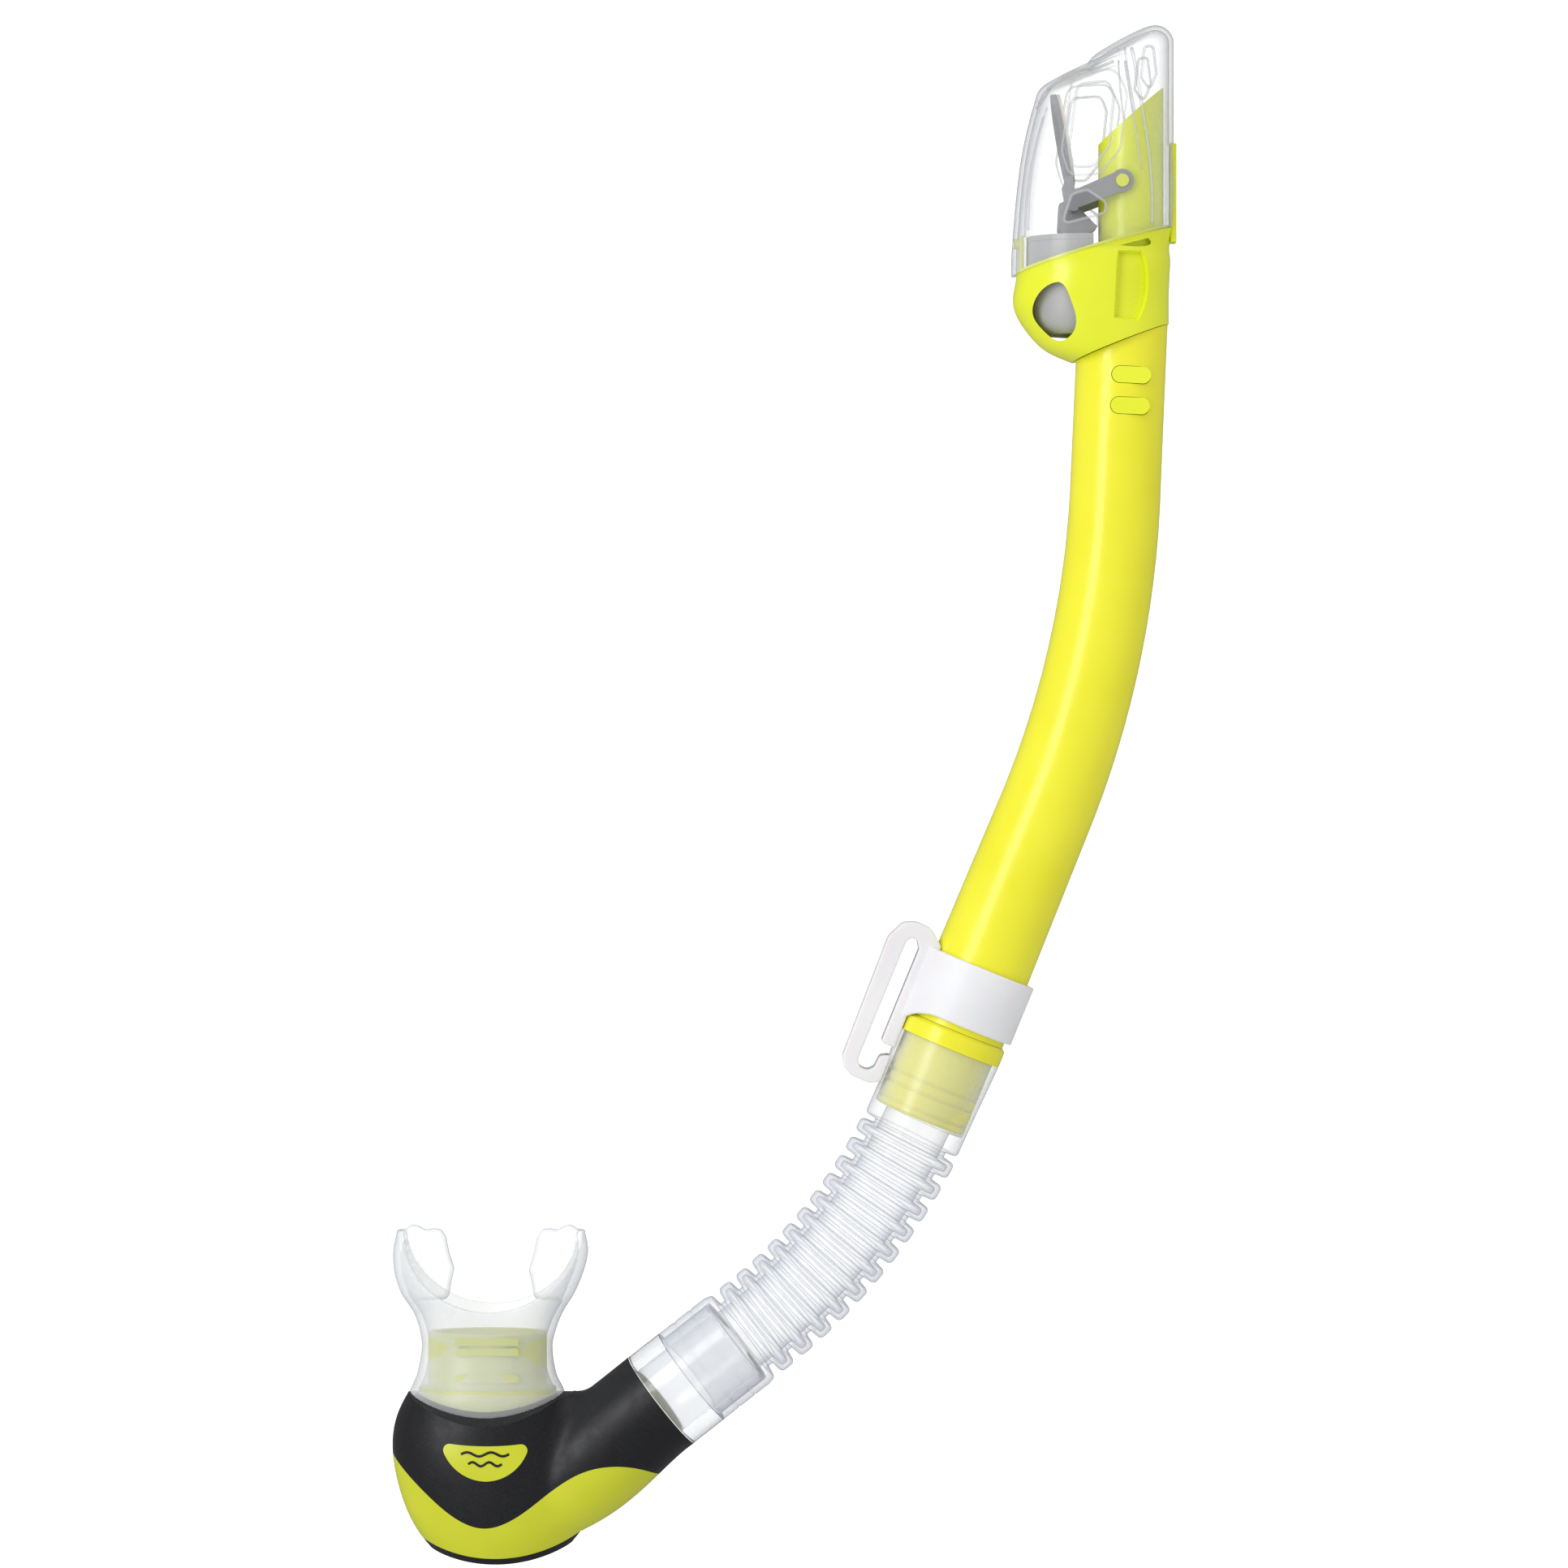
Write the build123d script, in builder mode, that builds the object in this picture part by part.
from build123d import *
import os
from math import cos, degrees, pi, radians, sin, sqrt, tan

# Dry-top snorkel, millimetres. +Z is up, X runs across the snorkel, Y through it.
# The whole snorkel is symmetric about Y = 0. The origin is the middle of the keeper's strap slot.

# ---------------------------------------------------------------- driving dimensions
# Barrel axis: straight, one long bend, straight. Tilts are degrees from vertical.
lower_tilt = 22.4
upper_tilt = 2.5
slot_to_barrel = 20.3  # strap slot to barrel axis
bend_start = 64.3  # along the barrel, from the keeper
bend_radius = 268.0
barrel_foot, barrel_head = -0.5, 209.0
foot_radius, bend_low_radius, bend_high_radius, head_radius = 14.1, 13.4, 12.7, 12.6
bend_slices = 8
barrel_wall = 1.8
seam_tilt = 21.4  # slanted joint between barrel and dry top
seam_height = 183.9

# Hose axis: straight, one bend, straight
hose_tilt = 52.0
hose_bend_start = 21.84  # below the keeper, along the axis
hose_bend_radius = 156.9
collar_bottom = 5.7
spigot_end = 27.2
cuff_end = 32.5
rib_count = 11
rib_pitch = 6.55
first_rib = 36.5
rib_radius = 14.65
rib_width = 4.3
valley_radius = 11.0
hose_bore = 9.6
spigot_radius = 13.2
fit_gap = 0.05

# Swivel coupling, distances down the chamber axis from the end of the hose bend
cuff_top = 3.7
coupling_top = 22.1
socket_top = 32.9
journal_end = 48.4
coupling_radius = 15.05
journal_radius = 12.0
bearing_end = 45.6

# Keeper
ring_low, ring_high = 1.2, 18.4
ring_radius = 15.9
ring_bore = 14.2
loop_half_depth = 6.5
loop_clearance_radius = 15.55
slot_half_width = 2.05
slot_low, slot_high = -20.2, 18.4

# Chamber: (height, left edge, right edge, half depth)
chamber_sections = [
    (-158.0, -124.0, -94.5, 10.0),
    (-153.5, -127.9, -90.3, 12.8),
    (-149.5, -131.2, -87.0, 14.6),
    (-139.3, -136.3, -82.5, 16.8),
    (-130.0, -138.6, -84.0, 17.5),
    (-122.0, -139.0, -86.0, 17.2),
    (-115.0, -137.4, -88.0, 16.4),
    (-108.5, -134.0, -91.0, 15.2),
]
skin = 1.0
chamber_wall = 2.6
saddle_radius = 21.75
badge_corner = 1.8
saddle_top = -109.6
saddle_end = -88.5
collar_size = (19.2, 12.8)
collar_top = -108.2
spout_size = (16.6, 10.3)
spout_top = -92.7
mouth_x = -112.5
belly_radius = 46.4
belly_centre = (-110.0, -108.2)
purge_x = -110.5
seat_radius = 12.6
seat_top = -146.0
seat_thickness = 2.2
valve_radius = 11.2
valve_lift = 1.2

# Mouthpiece: (height, left edge, right edge, half depth)
mouthpiece_sections = [
    (-118.0, -131.5, -93.2, 14.4),
    (-111.0, -134.5, -90.6, 15.4),
    (-104.5, -132.2, -93.2, 13.4),
    (-96.8, -130.9, -94.3, 12.3),
    (-91.5, -131.7, -93.1, 12.9),
    (-87.0, -133.4, -91.2, 14.4),
    (-82.0, -136.7, -88.1, 16.2),
    (-76.0, -138.6, -85.6, 17.2),
    (-70.0, -138.9, -84.3, 17.3),
    (-64.3, -137.9, -85.2, 16.8),
]
lip_wall = 2.0
lip_centre = (-111.4, -64.0)
lip_size = (25.3, 22.1)

# Dry top: housing and cover, (height, left edge, right edge, half depth)
housing_sections = [
    (177.5, 52.2, 77.6, 12.65),
    (180.9, 45.2, 77.9, 14.2),
    (184.1, 40.9, 78.1, 15.3),
    (187.3, 38.2, 78.2, 16.0),
    (190.5, 36.1, 78.2, 16.4),
    (196.8, 34.6, 78.2, 16.7),
    (206.0, 34.4, 78.6, 16.9),
    (218.0, 34.7, 79.6, 17.0),
]
cover_sections = [
    (200.0, 34.4, 78.3, 16.8),
    (216.0, 34.7, 79.5, 17.0),
    (228.6, 35.9, 79.9, 17.0),
    (241.4, 38.0, 79.3, 16.6),
    (252.0, 40.8, 78.6, 15.9),
    (262.0, 44.0, 77.6, 15.0),
    (272.0, 47.5, 76.4, 13.8),
]
housing_wall = 1.6
cover_wall = 1.3
split_tilt = 16.8  # joint between housing and cover
split_point = (57.2, 209.4)
roof_tilt = 23.3
roof_point = (55.4, 261.2)
hood_centre = 67.3
hood_size = (12.3, 12.6)
hood_roof_tilt = 27.6
hood_roof_point = (65.1, 268.4)
pipe_centre = 67.6
pipe_radius = 9.1
pipe_bore = 7.6
pipe_foot = 184.5
neck_radius = 10.7
neck_bore = 8.8

# Float valve
pivot = Vector(64.5, 0, 228.2)
pin_radius = 1.8
pin_gap = 0.06
flap_tilt = -9.9
mouth_tilt = 48.7
swing = mouth_tilt - flap_tilt
float_rise = 14.0
float_top = 213.4
mouth_distance = 12.35
seal_distance = 12.4
seal_thickness = 1.0
plate_thickness = 1.4
seal_middle = 15.0
arm_inner, arm_outer = 9.5, 11.1


# ---------------------------------------------------------------- frames
def up_along(tilt):
    return Vector(sin(radians(tilt)), 0, cos(radians(tilt)))


def out_from(tilt):
    return Vector(cos(radians(tilt)), 0, -sin(radians(tilt)))


def cross_plane(origin, tilt):
    """Plane square to an axis of this tilt: local z runs up the axis."""
    return Plane(origin=origin, x_dir=out_from(tilt), z_dir=up_along(tilt))


def side_plane(origin, tilt):
    """Plane y = 0 seen from the front, turned so that local y runs up the axis."""
    return Plane(origin=origin, x_dir=out_from(tilt), z_dir=(0, -1, 0))


barrel_base = out_from(lower_tilt) * slot_to_barrel
bend_angle = lower_tilt - upper_tilt
bend_length = radians(bend_angle) * bend_radius
bend_origin = barrel_base + up_along(lower_tilt) * bend_start
bend_centre = bend_origin - out_from(lower_tilt) * bend_radius
bend_finish = bend_centre + out_from(upper_tilt) * bend_radius

hose_turn = hose_tilt - lower_tilt
hose_bend_origin = barrel_base - up_along(lower_tilt) * hose_bend_start
hose_bend_centre = hose_bend_origin - out_from(lower_tilt) * hose_bend_radius
chamber_base = hose_bend_centre + out_from(hose_tilt) * hose_bend_radius


def barrel_plane(distance):
    """Cross plane at a distance up the barrel from the keeper."""
    if distance <= bend_start:
        return cross_plane(barrel_base + up_along(lower_tilt) * distance, lower_tilt)
    if distance <= bend_start + bend_length:
        tilt = lower_tilt - degrees((distance - bend_start) / bend_radius)
        return cross_plane(bend_centre + out_from(tilt) * bend_radius, tilt)
    rest = distance - bend_start - bend_length
    return cross_plane(bend_finish + up_along(upper_tilt) * rest, upper_tilt)


def hose_plane(distance):
    """Cross plane at a distance down the hose from the keeper."""
    if distance <= hose_bend_start:
        return cross_plane(barrel_base - up_along(lower_tilt) * distance, lower_tilt)
    tilt = lower_tilt + degrees((distance - hose_bend_start) / hose_bend_radius)
    return cross_plane(hose_bend_centre + out_from(tilt) * hose_bend_radius, tilt)


def chamber_plane(distance):
    """Cross plane at a distance down the coupling axis from the end of the hose bend."""
    return cross_plane(chamber_base - up_along(hose_tilt) * distance, hose_tilt)


def stacked_ellipses(sections, inset):
    """Solid through ellipses that lie flat, one above the other, each drawn in by the inset."""
    with BuildPart() as stack:
        for height, left, right, half_depth in sections:
            with BuildSketch(Plane.XY.offset(height)):
                with Locations(((left + right) / 2, 0)):
                    Ellipse((right - left) / 2 - inset, half_depth - inset)
        loft()
    return stack.part


os.makedirs("parts", exist_ok=True)


def save(part, name):
    part.label = name
    export_step(part, f"parts/{name}.step")


# ---------------------------------------------------------------- barrel
seam_point = (bend_finish.X + (seam_height - bend_finish.Z) * tan(radians(upper_tilt)), 0, seam_height)
seam_normal = (-sin(radians(seam_tilt)), 0, cos(radians(seam_tilt)))
top_plane = cross_plane(seam_point, upper_tilt)
window_low, window_high = -18.3, -9.7
window_shift = 2.3
window_length, window_height = 11.2, 4.9

bend_top = bend_start + bend_length
bend_sections = [
    (bend_start + bend_length * i / bend_slices,
     bend_low_radius + (bend_high_radius - bend_low_radius) * i / bend_slices)
    for i in range(bend_slices + 1)
]
barrel_runs = [
    [(barrel_foot, foot_radius), (bend_start, bend_low_radius)],
    bend_sections,
    [(bend_top, bend_high_radius), (barrel_head, head_radius)],
]

with BuildPart() as main_tube:
    for inset, mode in ((0, Mode.ADD), (barrel_wall, Mode.SUBTRACT)):
        for run in barrel_runs:
            for distance, radius in run:
                with BuildSketch(barrel_plane(distance)):
                    Circle(radius - inset)
            loft(mode=mode)
    split(bisect_by=Plane(origin=seam_point, z_dir=seam_normal), keep=Keep.BOTTOM)
    with BuildSketch(side_plane(seam_point, upper_tilt)):
        with Locations((window_shift, window_low), (window_shift, window_high)):
            SlotOverall(window_length, window_height)
    extrude(amount=20, both=True, mode=Mode.SUBTRACT)
    with BuildSketch(Plane.XY.offset(pipe_foot - 0.1)):
        with Locations((pipe_centre, 0)):
            Circle(pipe_radius + fit_gap)
    extrude(amount=20, mode=Mode.SUBTRACT)
save(main_tube.part, "main_tube")

collar_radius = 15.1
plug_radius = 11.95
spigot_bore = 10.6
groove_places = (16.9, 20.1, 24.8)
barrel_side = side_plane(barrel_base, lower_tilt)
barrel_axis = Axis(barrel_base, up_along(lower_tilt))

with BuildPart() as hose_spigot:
    with BuildSketch(barrel_side):
        with BuildLine():
            Polyline(
                (spigot_bore, 13.0),
                (plug_radius - 0.8, 13.0),
                (plug_radius, 12.0),
                (plug_radius, -0.6),
                (collar_radius - 0.8, -0.6),
                (collar_radius, -1.4),
                (collar_radius, -collar_bottom),
                (spigot_radius, -collar_bottom),
                (spigot_radius, -spigot_end + 0.8),
                (spigot_radius - 0.8, -spigot_end),
                (spigot_bore, -spigot_end),
                close=True,
            )
        make_face()
    revolve(axis=barrel_axis)
    for place in groove_places:
        with BuildSketch(barrel_side):
            with Locations((spigot_radius, -place)):
                Rectangle(1.0, 0.9)
        revolve(axis=barrel_axis, mode=Mode.SUBTRACT)
save(hose_spigot.part, "hose_spigot")

# ---------------------------------------------------------------- hose
cuff_radius_top, cuff_radius_bottom = 15.15, 14.3
cuff_bore = spigot_radius + fit_gap
rib_cavity_radius, rib_cavity_width = 13.1, 2.0
sleeve_top = 6.0
sleeve_radius = 13.1


def hose_path():
    """The hose's middle line from the upper cuff to the lower one."""
    middle = hose_bend_centre + out_from((lower_tilt + hose_tilt) / 2) * hose_bend_radius
    with BuildLine() as path:
        ThreePointArc(hose_bend_origin, middle, chamber_base)
        Line(chamber_base, chamber_base - up_along(hose_tilt) * (sleeve_top + 1.0))
    return path.line


with BuildPart() as corrugated_hose:
    with BuildSketch(hose_plane(hose_bend_start)):
        Circle(valley_radius)
    sweep(path=hose_path())
    with BuildSketch(barrel_side):
        with BuildLine():
            Polyline(
                (0, -collar_bottom - fit_gap),
                (cuff_radius_top, -collar_bottom - fit_gap),
                (cuff_radius_bottom, -hose_bend_start),
                (cuff_radius_bottom, -cuff_end + 1),
                (cuff_radius_bottom - 1, -cuff_end),
                (0, -cuff_end),
                close=True,
            )
        make_face()
    revolve(axis=barrel_axis)
    with BuildSketch(chamber_plane(cuff_top)):
        Circle(coupling_radius - 0.05)
    extrude(amount=-(coupling_top - cuff_top - fit_gap))
    for rib in range(rib_count):
        with BuildSketch(hose_plane(first_rib + rib * rib_pitch).offset(-rib_width / 2)):
            Circle(rib_radius)
        extrude(amount=rib_width)
    with BuildSketch(hose_plane(hose_bend_start)):
        Circle(hose_bore)
    sweep(path=hose_path(), mode=Mode.SUBTRACT)
    with BuildSketch(hose_plane(collar_bottom)):
        Circle(cuff_bore)
    extrude(amount=-(spigot_end + 0.3 - collar_bottom), mode=Mode.SUBTRACT)
    with BuildSketch(chamber_plane(sleeve_top - 0.3)):
        Circle(sleeve_radius + fit_gap)
    extrude(amount=-coupling_top, mode=Mode.SUBTRACT)
    for rib in range(rib_count):
        with BuildSketch(hose_plane(first_rib + rib * rib_pitch).offset(-rib_cavity_width / 2)):
            Circle(rib_cavity_radius)
        extrude(amount=rib_cavity_width, mode=Mode.SUBTRACT)
save(corrugated_hose.part, "corrugated_hose")

coupling_bore = 10.4
o_ring_section = 1.0
o_ring_place = 39.5
ring_groove = (45.75, 47.45)
retainer_radius = 13.3
chamber_side = side_plane(chamber_base, hose_tilt)
chamber_axis = Axis(chamber_base, up_along(hose_tilt))

with BuildPart() as hose_coupling:
    with BuildSketch(chamber_side):
        with BuildLine():
            Polyline(
                (coupling_bore, -sleeve_top),
                (sleeve_radius - 0.6, -sleeve_top),
                (sleeve_radius, -sleeve_top - 0.8),
                (sleeve_radius, -coupling_top),
                (coupling_radius, -coupling_top),
                (coupling_radius, -socket_top + 0.1),
                (journal_radius, -socket_top + 0.1),
                (journal_radius, -journal_end),
                (coupling_bore, -journal_end),
                close=True,
            )
        make_face()
        with Locations((journal_radius, -(ring_groove[0] + ring_groove[1]) / 2)):
            Rectangle(2.0, ring_groove[1] - ring_groove[0], mode=Mode.SUBTRACT)
        with Locations((journal_radius, -o_ring_place)):
            Rectangle(2.0, 2 * o_ring_section * 0.62, mode=Mode.SUBTRACT)
    revolve(axis=chamber_axis)
save(hose_coupling.part, "hose_coupling")

with BuildPart() as coupling_o_ring:
    with BuildSketch(chamber_side):
        with Locations((journal_radius + 0.03 - o_ring_section / 2, -o_ring_place)):
            Circle(o_ring_section / 2 - 0.02)
    revolve(axis=chamber_axis)
save(coupling_o_ring.part, "coupling_o_ring")

with BuildPart() as swivel_retainer:
    with BuildSketch(chamber_plane((ring_groove[0] + ring_groove[1]) / 2).offset(-0.75)):
        Circle(retainer_radius)
        Circle(journal_radius - 0.95, mode=Mode.SUBTRACT)
        with Locations((retainer_radius, 0)):
            Rectangle(8, 4, mode=Mode.SUBTRACT)
    extrude(amount=1.5)
save(swivel_retainer.part, "swivel_retainer")

# ---------------------------------------------------------------- keeper
with BuildPart() as snorkel_keeper:
    with BuildSketch(side_plane((0, 0, 0), lower_tilt)):
        with BuildLine():
            Polyline(
                (-6.6, -19.0),
                (-7.4, 16.5),
                (-5.2, 21.6),
                (-1.5, 23.2),
                (3.4, 23.0),
                (7.0, 19.4),
                (9.0, ring_high),
                (16.0, ring_high),
                (16.0, ring_low),
                (13.5, ring_low),
                (9.5, -0.6),
                (7.3, -4.6),
                (7.3, -11.5),
                (slot_half_width, -11.5),
                (slot_half_width, 16.4),
                (0.6, slot_high),
                (-1.2, slot_high),
                (-slot_half_width, 17.2),
                (-slot_half_width, -18.6),
                (-0.4, slot_low),
                (2.6, -19.6),
                (3.2, -14.0),
                (7.3, -14.0),
                (7.6, -19.0),
                (6.4, -22.2),
                (3.1, -23.4),
                (-2.6, -23.2),
                (-5.6, -21.6),
                close=True,
            )
        make_face()
    extrude(amount=loop_half_depth, both=True)
    fillet(snorkel_keeper.edges().filter_by(GeomType.LINE).filter_by(Axis.Y), 0.9)
    with BuildSketch(hose_plane(-ring_low)):
        Circle(ring_radius)
    extrude(amount=ring_high - ring_low)
    chamfer(snorkel_keeper.edges().filter_by(GeomType.CIRCLE).filter_by(
        lambda edge: abs(edge.radius - ring_radius) < 0.01), 0.7)
    with BuildSketch(hose_plane(-ring_low + 0.5)):
        Circle(ring_bore)
    extrude(amount=30, mode=Mode.SUBTRACT)
    with BuildSketch(hose_plane(-ring_low)):
        Circle(loop_clearance_radius)
    extrude(amount=-30, mode=Mode.SUBTRACT)
save(snorkel_keeper.part, "snorkel_keeper")

# ---------------------------------------------------------------- chamber
# Neck: (distance down the coupling axis, radius, shift across it)
neck_sections = [(socket_top, 15.1, 0.0), (47.0, 15.5, 0.5), (58.0, 15.9, 0.8)]
neck_sections += [(70.0, 15.0, 0.6), (80.0, 12.0, 1.0)]
neck_blend = 7.0  # radius where the neck flows into the bulb
wave_points = [(-136.3, -129.3), (-129.3, -136.1), (-112.7, -145.7), (-96.8, -137.7)]
wave_points += [(-84.1, -129.8), (-71.1, -129.3)]


def neck_form(inset):
    """The chamber's neck, drawn in by the inset, running on into the bulb."""
    with BuildPart() as neck:
        for distance, radius, shift in neck_sections:
            with BuildSketch(chamber_plane(distance)):
                with Locations((shift, 0)):
                    Circle(radius - inset)
        loft()
    return neck.part


def chamber_form(inset):
    """Outer form of the chamber drawn in by the inset: bulb, neck blended into it, and saddle top."""
    with BuildPart() as form:
        add(stacked_ellipses(chamber_sections, inset))
        add(neck_form(inset))
        fillet(form.edges(Select.NEW), neck_blend - inset)
        saddle_middle = saddle_top - saddle_radius
        with BuildSketch(Plane.YZ.offset(-160)):
            with Locations((0, saddle_middle + 25)):
                Rectangle(80, 50)
            with Locations((0, saddle_middle)):
                Circle(saddle_radius - inset, mode=Mode.SUBTRACT)
        extrude(amount=160 + saddle_end, mode=Mode.SUBTRACT)
    return form.part


def below_belly(radius):
    """Everything under the wide round curve that the chamber's underside follows."""
    with BuildPart() as region:
        with BuildSketch(Plane.XZ):
            with Locations((belly_centre[0] - 3, -158)):
                Rectangle(54, 36)
            with Locations(belly_centre):
                Circle(radius, mode=Mode.SUBTRACT)
        extrude(amount=40, both=True)
    return region.part


def skin_region():
    """Everything above the wave line between the soft skin and the bare chamber."""
    with BuildPart() as region:
        with BuildSketch(Plane.XZ):
            with BuildLine():
                Spline((-146, -118), *wave_points, (-58, -140))
                Polyline((-58, -140), (-40, -120), (-60, -80), (-146, -80), (-146, -118))
            make_face()
        extrude(amount=40, both=True)
        with BuildSketch(Plane.XZ):
            with BuildLine():
                ThreePointArc((-124.6, -121.8), (-112.2, -122.7), (-99.9, -122.0))
                ThreePointArc((-99.9, -122.0), (-103.6, -129.0), (-112.0, -132.4))
                ThreePointArc((-112.0, -132.4), (-120.6, -129.0), (-124.6, -121.8))
            badge = make_face()
            fillet(badge.vertices().sort_by(Axis.Y)[-2:], badge_corner)
        extrude(amount=40, both=True, mode=Mode.SUBTRACT)
    return region.part


outer_form = chamber_form(0)
core_form = chamber_form(skin)
cavity_form = chamber_form(chamber_wall)
skin_area = skin_region()
under_belly = below_belly(belly_radius)

with BuildPart() as chamber_overmold:
    add(outer_form)
    add(under_belly, mode=Mode.SUBTRACT)
    add(skin_area, mode=Mode.INTERSECT)
    add(core_form, mode=Mode.SUBTRACT)
    with BuildSketch(Plane.XY.offset(collar_top)):
        with Locations((mouth_x, 0)):
            Ellipse(*collar_size)
    extrude(amount=-12, mode=Mode.SUBTRACT)
save(chamber_overmold.part, "chamber_overmold")

bearing_radius = journal_radius + 0.06
floor_low = seat_top - seat_thickness - 0.6
grip_ribs = ((-94.6, 2.1), (-97.4, 2.1), (-104.8, 2.3))

with BuildPart() as chamber_body:
    add(outer_form)
    for size, top, depth in ((collar_size, collar_top, 12), (spout_size, spout_top, 28)):
        with BuildSketch(Plane.XY.offset(top)):
            with Locations((mouth_x, 0)):
                Ellipse(*size)
        extrude(amount=-depth)
    with BuildSketch(Plane.XZ):
        for height, width in grip_ribs:
            with Locations((mouth_x + 0.5, height)):
                RectangleRounded(17.5, width, 0.6)
    extrude(amount=spout_size[1] + 0.45, both=True)
    add(cavity_form, mode=Mode.SUBTRACT)
    with BuildSketch(Plane.XY.offset(spout_top)):
        with Locations((mouth_x, 0)):
            Ellipse(spout_size[0] - 2, spout_size[1] - 2)
    extrude(amount=-25, mode=Mode.SUBTRACT)
    with BuildSketch(chamber_plane(socket_top)):
        Circle(13.5)
        Circle(bearing_radius, mode=Mode.SUBTRACT)
    extrude(amount=-(bearing_end - socket_top))
    with BuildSketch(chamber_plane(bearing_end)):
        Circle(retainer_radius + 0.5)
    extrude(amount=-3.4, mode=Mode.SUBTRACT)
    with BuildSketch(Plane.XY.offset(seat_top)):
        with Locations((purge_x, 0)):
            Ellipse(20.5, 13.4)
    extrude(amount=floor_low - seat_top)
    with BuildSketch(Plane.XY.offset(seat_top)):
        with Locations((purge_x, 0)):
            Circle(seat_radius + fit_gap)
    extrude(amount=-seat_thickness, mode=Mode.SUBTRACT)
    with BuildSketch(Plane.XY.offset(seat_top - seat_thickness)):
        with Locations((purge_x, 0)):
            Circle(valve_radius + 0.4)
    extrude(amount=-4, mode=Mode.SUBTRACT)
    add(under_belly, mode=Mode.SUBTRACT)
    add(chamber_overmold.part, mode=Mode.SUBTRACT)
save(chamber_body.part, "chamber_body")

# ---------------------------------------------------------------- purge valve
hub_radius = 2.4
stem_radius = 1.0
spoke_count = 6

with BuildPart() as purge_seat:
    with BuildSketch(Plane.XY.offset(seat_top)):
        with Locations((purge_x, 0)):
            Circle(seat_radius)
            Circle(seat_radius - 2.4, mode=Mode.SUBTRACT)
            Circle(hub_radius)
            with PolarLocations(0, spoke_count):
                with Locations((seat_radius / 2, 0)):
                    Rectangle(seat_radius - 2.4, 1.3)
            Circle(stem_radius + 0.08, mode=Mode.SUBTRACT)
    extrude(amount=-seat_thickness)
save(purge_seat.part, "purge_seat")

valve_top = seat_top - seat_thickness - fit_gap
with BuildPart() as purge_valve:
    with BuildSketch(Plane.XZ):
        with BuildLine():
            Polyline(
                (purge_x, valve_top - 0.9),
                (purge_x + valve_radius * 0.6, valve_top - 0.9),
                (purge_x + valve_radius, valve_top - 0.5),
                (purge_x + valve_radius, valve_top),
                (purge_x + stem_radius, valve_top),
                (purge_x + stem_radius, seat_top + valve_lift + 0.1),
                (purge_x + stem_radius + 0.6, seat_top + valve_lift + 0.3),
                (purge_x + stem_radius * 0.7, seat_top + valve_lift + 2.4),
                (purge_x, seat_top + valve_lift + 2.4),
                close=True,
            )
        make_face()
    revolve(axis=Axis((purge_x, 0, 0), (0, 0, 1)))
save(purge_valve.part, "purge_valve")

cover_depth = 1.8
slot_count, slot_pitch = 5, 5.2

with BuildPart() as purge_cover:
    add(stacked_ellipses(chamber_sections, 0.1))
    add(below_belly(belly_radius + fit_gap), mode=Mode.INTERSECT)
    add(below_belly(belly_radius + cover_depth), mode=Mode.SUBTRACT)
    with BuildSketch(Plane.XY.offset(-160)):
        with Locations((purge_x, 0)):
            with GridLocations(slot_pitch, 1, slot_count, 1):
                SlotOverall(15, 2.2, rotation=90)
    extrude(amount=20, mode=Mode.SUBTRACT)
save(purge_cover.part, "purge_cover")

# ---------------------------------------------------------------- mouthpiece
tab_half_depth = 3.2
tab_points = [(-27.0, -82.5), (-26.6, -67.0), (-23.8, -64.2), (-21.0, -62.9), (-18.0, -64.0)]
tab_points += [(-14.6, -63.8), (-12.6, -66.0), (-11.6, -70.5), (-10.3, -74.6), (-11.2, -78.5), (-12.6, -84.0)]
throat_size = (15.0, 8.6)

with BuildPart() as mouthpiece:
    add(stacked_ellipses(mouthpiece_sections, 0))
    add(stacked_ellipses(mouthpiece_sections[5:], lip_wall), mode=Mode.SUBTRACT)
    with BuildSketch(Plane.XY.offset(-86.0)):
        with Locations((mouth_x, 0)):
            Ellipse(*throat_size)
    extrude(amount=-10, mode=Mode.SUBTRACT)
    with BuildSketch(Plane.XZ):
        with Locations(lip_centre):
            Ellipse(*lip_size)
        with Locations((lip_centre[0], lip_centre[1] + 10)):
            Rectangle(2 * lip_size[0], 20)
    extrude(amount=30, both=True, mode=Mode.SUBTRACT)
    with BuildSketch(Plane.XZ):
        with BuildLine():
            Polyline(*[(lip_centre[0] + x, z) for x, z in tab_points], close=True)
        make_face()
        mirror(about=Plane.YZ.offset(lip_centre[0]))
    extrude(amount=tab_half_depth, both=True)
    for size, top, depth in ((collar_size, collar_top, 12), (spout_size, spout_top, 28)):
        with BuildSketch(Plane.XY.offset(top + fit_gap)):
            with Locations((mouth_x, 0)):
                Ellipse(size[0] + fit_gap, size[1] + fit_gap)
        extrude(amount=-depth, mode=Mode.SUBTRACT)
    with BuildSketch(Plane.XZ):
        for height, width in grip_ribs:
            with Locations((mouth_x + 0.5, height)):
                RectangleRounded(17.6, width + 0.1, 0.6)
    extrude(amount=spout_size[1] + 0.5, both=True, mode=Mode.SUBTRACT)
    add(outer_form, mode=Mode.SUBTRACT)
save(mouthpiece.part, "mouthpiece")

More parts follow.
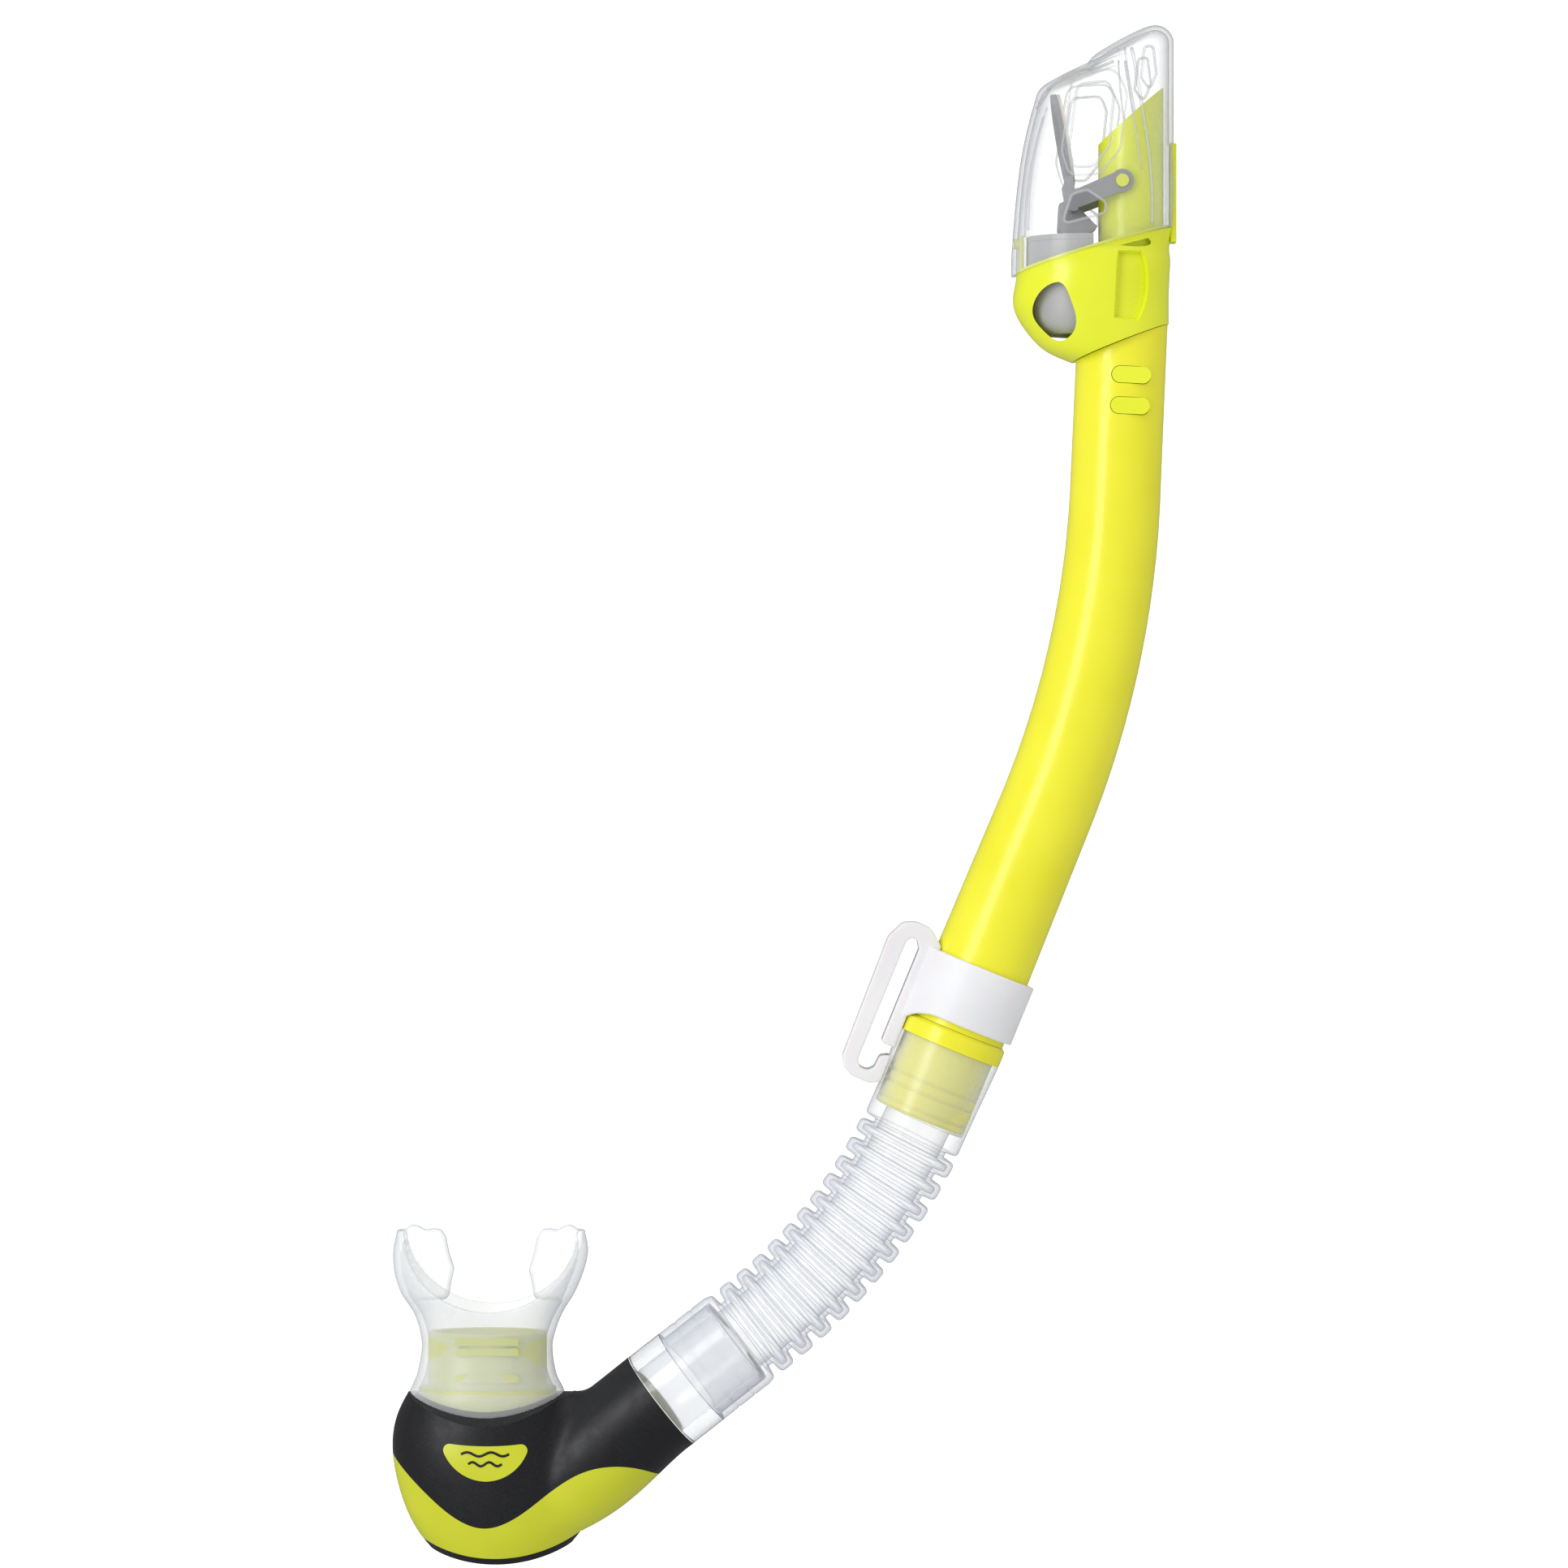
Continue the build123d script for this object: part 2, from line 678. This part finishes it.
# ---------------------------------------------------------------- dry top
split_plane = Plane(
    origin=(split_point[0], 0, split_point[1]),
    x_dir=(cos(radians(split_tilt)), 0, sin(radians(split_tilt))),
    z_dir=(-sin(radians(split_tilt)), 0, cos(radians(split_tilt))),
)
seam_gap = 0.15
housing_seam = Plane(origin=seam_point, z_dir=seam_normal).offset(seam_gap)
skirt_wall, skirt_height = 1.2, 1.0
skirt_inset = cover_wall + 0.1
neck_top = 185.0
neck_foot = -26.0
window_points = [(45.9, 199.6), (41.2, 196.6), (39.6, 191.6), (42.8, 186.4), (47.6, 183.6)]
window_points += [(50.9, 186.2), (51.4, 189.5), (50.0, 194.5)]
recess_left, recess_right = 61.0, 73.8
recess_low, recess_high = 187.0, 209.0
recess_depth = 1.9
recess_slope = 20.0  # degrees, of its side walls
recess_start, recess_reach = 18.0, 9.0  # where the sloping sides start, and how far in they run
pad_wall = 1.3  # left behind the recess
nub_place = (35.0, 211.6)
nub_backing = (36.9, 1.2, 6.0)  # centre, thickness, width of the front tongue behind the nub
tongue_x = 79.3
tongue_low, tongue_high = 212.0, 239.5
tongue_half_width = 3.2


def pivot_side(tilt):
    return side_plane(pivot, tilt)


with BuildPart() as skirt:
    add(stacked_ellipses(cover_sections, skirt_inset))
    add(stacked_ellipses(cover_sections, skirt_inset + skirt_wall), mode=Mode.SUBTRACT)
    split(bisect_by=split_plane.offset(-1.5), keep=Keep.TOP)
    split(bisect_by=split_plane.offset(skirt_height), keep=Keep.BOTTOM)

with BuildPart() as recess_pad:
    with BuildSketch(Plane.XZ):
        with Locations(((recess_left + recess_right) / 2, (recess_low + recess_high) / 2)):
            Rectangle(recess_right - recess_left + 1, recess_high - recess_low + 1)
    extrude(amount=30, both=True)
    add(stacked_ellipses(housing_sections, housing_wall / 2), mode=Mode.INTERSECT)
    add(stacked_ellipses(housing_sections, recess_depth + pad_wall), mode=Mode.SUBTRACT)

with BuildPart() as recess:
    with BuildSketch(Plane.XZ.offset(recess_start)):
        with BuildLine():
            Line((recess_left, recess_low + 2), (recess_left + 1.2, recess_high))
            Line((recess_left + 1.2, recess_high), (recess_right - 3, recess_high + 1.6))
            ThreePointArc(
                (recess_right - 3, recess_high + 1.6),
                (recess_right, (recess_low + recess_high) / 2 + 3),
                (recess_right - 4.5, recess_low),
            )
            Line((recess_right - 4.5, recess_low), (recess_left, recess_low + 2))
        make_face()
    extrude(amount=-recess_reach, taper=recess_slope)
    mirror(about=Plane.XZ)
    add(stacked_ellipses(housing_sections, recess_depth), mode=Mode.SUBTRACT)

with BuildPart() as dry_top_housing:
    add(stacked_ellipses(housing_sections, 0))
    split(bisect_by=split_plane, keep=Keep.BOTTOM)
    add(stacked_ellipses(housing_sections[2:], housing_wall), mode=Mode.SUBTRACT)
    add(skirt.part)
    add(recess_pad.part)
    add(recess.part, mode=Mode.SUBTRACT)
    with BuildSketch(top_plane.offset(-10)):
        Circle(neck_radius + fit_gap)
    extrude(amount=neck_top - seam_height + 10 + fit_gap, mode=Mode.SUBTRACT)
    with BuildSketch(Plane.XY.offset(pipe_foot - 0.1)):
        with Locations((pipe_centre, 0)):
            Circle(pipe_radius + fit_gap)
    extrude(amount=60, mode=Mode.SUBTRACT)
    with BuildSketch(Plane.XZ):
        with BuildLine():
            Spline(*window_points, periodic=True)
        make_face()
    extrude(amount=30, both=True, mode=Mode.SUBTRACT)
    split(bisect_by=housing_seam, keep=Keep.TOP)
    with BuildSketch(Plane.XY.offset(tongue_low)):
        with Locations((tongue_x, 0)):
            RectangleRounded(1.8, 2 * tongue_half_width, 0.6)
    extrude(amount=tongue_high - tongue_low)
    with BuildSketch(Plane.XY.offset(nub_place[1] - 10)):
        with Locations((nub_backing[0], 0)):
            RectangleRounded(*nub_backing[1:], 0.4)
    extrude(amount=12)
    with BuildSketch(Plane.YZ.offset(nub_place[0])):
        with Locations((0, nub_place[1])):
            Circle(1.3)
    extrude(amount=1.6)
save(dry_top_housing.part, "dry_top_housing")


def cover_form(inset):
    """Both lobes of the splash cover, drawn in by the inset."""
    with BuildPart() as front:
        add(stacked_ellipses(cover_sections, inset))
        roof = Plane(
            origin=(roof_point[0], 0, roof_point[1]),
            z_dir=(-sin(radians(roof_tilt)), 0, cos(radians(roof_tilt))),
        ).offset(-inset)
        split(bisect_by=roof, keep=Keep.BOTTOM)
        fillet(front.faces().sort_by(Axis.Z)[-1].edges(), 4.5 - inset)
    with BuildPart() as hood:
        with BuildSketch(Plane.XY.offset(cover_sections[0][0])):
            with Locations((hood_centre, 0)):
                Ellipse(hood_size[0] - inset, hood_size[1] - inset)
        extrude(amount=80)
        roof = Plane(
            origin=(hood_roof_point[0], 0, hood_roof_point[1]),
            z_dir=(-sin(radians(hood_roof_tilt)), 0, cos(radians(hood_roof_tilt))),
        ).offset(-inset)
        split(bisect_by=roof, keep=Keep.BOTTOM)
        fillet(hood.faces().sort_by(Axis.Z)[-1].edges(), 5 - inset)
    with BuildPart() as both:
        add(front.part)
        add(hood.part)
    return both.part


air_windows = [
    [(51.8, 254.4), (60.2, 255.2), (61.8, 251.0), (60.4, 237.0), (56.0, 231.4), (50.8, 231.4), (49.4, 236.0)],
    [(47.4, 215.4), (59.6, 218.6), (59.4, 221.6), (54.4, 225.0), (50.2, 223.8)],
    [(69.6, 256.6), (70.6, 265.2), (73.0, 265.6), (73.9, 258.0), (72.0, 253.2)],
]

with BuildPart() as dry_top_cover:
    add(cover_form(0))
    add(cover_form(cover_wall), mode=Mode.SUBTRACT)
    split(bisect_by=split_plane.offset(0.1), keep=Keep.TOP)
    for outline in air_windows:
        with BuildSketch(Plane.XZ) as window:
            with BuildLine():
                Polyline(*outline, close=True)
            make_face()
            fillet(window.vertices(), 1.0)
        extrude(amount=30, both=True, mode=Mode.SUBTRACT)
    with BuildSketch(Plane.XY.offset(tongue_low)):
        with Locations((tongue_x, 0)):
            RectangleRounded(4.0, 2 * tongue_half_width + 0.3, 0.6)
    extrude(amount=tongue_high - tongue_low + 0.15, mode=Mode.SUBTRACT)
    with BuildSketch(Plane.YZ.offset(nub_place[0] - 3)):
        with Locations((0, nub_place[1])):
            Circle(1.4)
    extrude(amount=6, mode=Mode.SUBTRACT)
save(dry_top_cover.part, "dry_top_cover")

# ---------------------------------------------------------------- intake pipe
ring_depth = 0.85
neck_side = side_plane(seam_point, upper_tilt)
neck_axis = Axis(seam_point, up_along(upper_tilt))

with BuildPart() as intake_pipe:
    with BuildSketch(top_plane.offset(neck_foot)):
        Circle(neck_radius)
    extrude(amount=neck_top - seam_height - neck_foot)
    with BuildSketch(Plane.XY.offset(pipe_foot)):
        with Locations((pipe_centre, 0)):
            Circle(pipe_radius)
    extrude(amount=80)
    with BuildSketch(Plane.XZ):
        with Locations((pivot.X, pivot.Z)):
            Circle(pin_radius)
    extrude(amount=11.9, both=True)
    with BuildSketch(side_plane(seam_point, upper_tilt)):
        with Locations((window_shift, window_low), (window_shift, window_high)):
            SlotOverall(window_length - 0.3, window_height - 0.3)
    extrude(amount=12.7, both=True)
    with BuildSketch(top_plane.offset(neck_foot)):
        Circle(neck_bore)
    extrude(amount=neck_top - seam_height - neck_foot - 1.5, mode=Mode.SUBTRACT)
    with BuildSketch(Plane.XY.offset(183.5)):
        with Locations((pipe_centre, 0)):
            Circle(pipe_bore)
    extrude(amount=90, mode=Mode.SUBTRACT)
    mouth_plane = Plane(
        origin=pivot - out_from(mouth_tilt) * mouth_distance,
        z_dir=out_from(mouth_tilt) * -1,
    )
    split(bisect_by=mouth_plane, keep=Keep.BOTTOM)
    with BuildSketch(neck_side):
        with Locations((neck_radius, neck_foot + 3)):
            Rectangle(2 * ring_depth, 1.2)
    revolve(axis=neck_axis, mode=Mode.SUBTRACT)
save(intake_pipe.part, "intake_pipe")

with BuildPart() as neck_seal_ring:
    with BuildSketch(neck_side):
        with Locations((neck_radius - ring_depth + 0.5, neck_foot + 3)):
            Circle(0.48)
    revolve(axis=neck_axis)
save(neck_seal_ring.part, "neck_seal_ring")

# ---------------------------------------------------------------- float valve
cam_start = pivot.Z - float_top - 0.1
cam_rate = float_rise / radians(swing)
cam_points = []
for step in range(7):
    turned = radians(swing) * step / 6
    reach = cam_start - cam_rate * turned
    cam_points.append((
        pivot.X + reach * sin(turned) - cam_rate * cos(turned),
        pivot.Z - reach * cos(turned) - cam_rate * sin(turned),
    ))
plate_x = -seal_distance - seal_thickness - plate_thickness / 2
crossbar_low, crossbar_high = -6.0, 3.4

with BuildPart() as valve_lever:
    with BuildSketch(pivot_side(flap_tilt)):
        Circle(3.2)
        with BuildLine():
            Polyline((0, 3.0), (-1, -3.0), (-16.0, -5.8), (-16.0, -0.9), close=True)
        make_face()
    extrude(amount=arm_outer, both=True)
    with BuildSketch(Plane.XZ):
        Rectangle(400, 1200)
    extrude(amount=arm_inner, both=True, mode=Mode.SUBTRACT)
    with BuildSketch(pivot_side(flap_tilt)):
        with Locations((plate_x - 0.3, (crossbar_low + crossbar_high) / 2)):
            RectangleRounded(plate_thickness + 0.6, crossbar_high - crossbar_low, 0.5)
    extrude(amount=arm_outer, both=True)
    flap_plane = Plane(
        origin=pivot - out_from(flap_tilt) * (seal_distance + seal_thickness),
        x_dir=up_along(flap_tilt),
        z_dir=out_from(flap_tilt) * -1,
    )
    with BuildSketch(flap_plane):
        with Locations((seal_middle, 0)):
            Ellipse(13.1, 10.2)
        with Locations((seal_middle / 2, 0)):
            Rectangle(seal_middle, 12)
    extrude(amount=plate_thickness)
    with BuildSketch(Plane.XZ):
        with BuildLine():
            Spline(*cam_points)
            Polyline(
                cam_points[-1],
                (pivot.X - 10.5, pivot.Z - 8.0),
                (pivot.X - 14.0, pivot.Z - 5.5),
                (pivot.X - 17.0, pivot.Z - 5.5),
                (pivot.X - 17.4, pivot.Z - 12.6),
                (pivot.X - 15.6, pivot.Z - cam_start),
                cam_points[0],
            )
        make_face()
    extrude(amount=4.5, both=True)
    with BuildSketch(Plane.XZ):
        with Locations((pivot.X, pivot.Z)):
            Circle(pin_radius + pin_gap)
    extrude(amount=20, both=True, mode=Mode.SUBTRACT)
save(valve_lever.part, "valve_lever")

with BuildPart() as flap_seal:
    with BuildSketch(flap_plane):
        with Locations((seal_middle, 0)):
            Ellipse(12.9, 9.9)
    extrude(amount=-seal_thickness)
save(flap_seal.part, "flap_seal")

float_wall = 1.0
float_sections = [(186.0, 43.4, 70.0, 9.5), (189.5, 39.7, 71.5, 11.9), (193.5, 38.5, 72.0, 12.7)]
float_sections += [(204.0, 38.3, 72.0, 12.9), (float_top - 1.6, 38.4, 72.0, 12.8)]
float_back = 56.4

with BuildPart() as float_hollow:
    add(stacked_ellipses(float_sections, float_wall))
    split(bisect_by=Plane.YZ.offset(float_back - float_wall), keep=Keep.BOTTOM)
    split(bisect_by=Plane.XY.offset(float_sections[0][0] + float_wall), keep=Keep.TOP)

with BuildPart() as float_shell:
    add(stacked_ellipses(float_sections, 0))
    split(bisect_by=Plane.YZ.offset(float_back), keep=Keep.BOTTOM)
    add(float_hollow.part, mode=Mode.SUBTRACT)
save(float_shell.part, "float_shell")

with BuildPart() as float_cap:
    with BuildSketch(Plane.XY.offset(float_top)):
        with Locations((55.2, 0)):
            Ellipse(16.8, 12.8)
    extrude(amount=-1.55)
    split(bisect_by=Plane.YZ.offset(float_back), keep=Keep.BOTTOM)
save(float_cap.part, "float_cap")
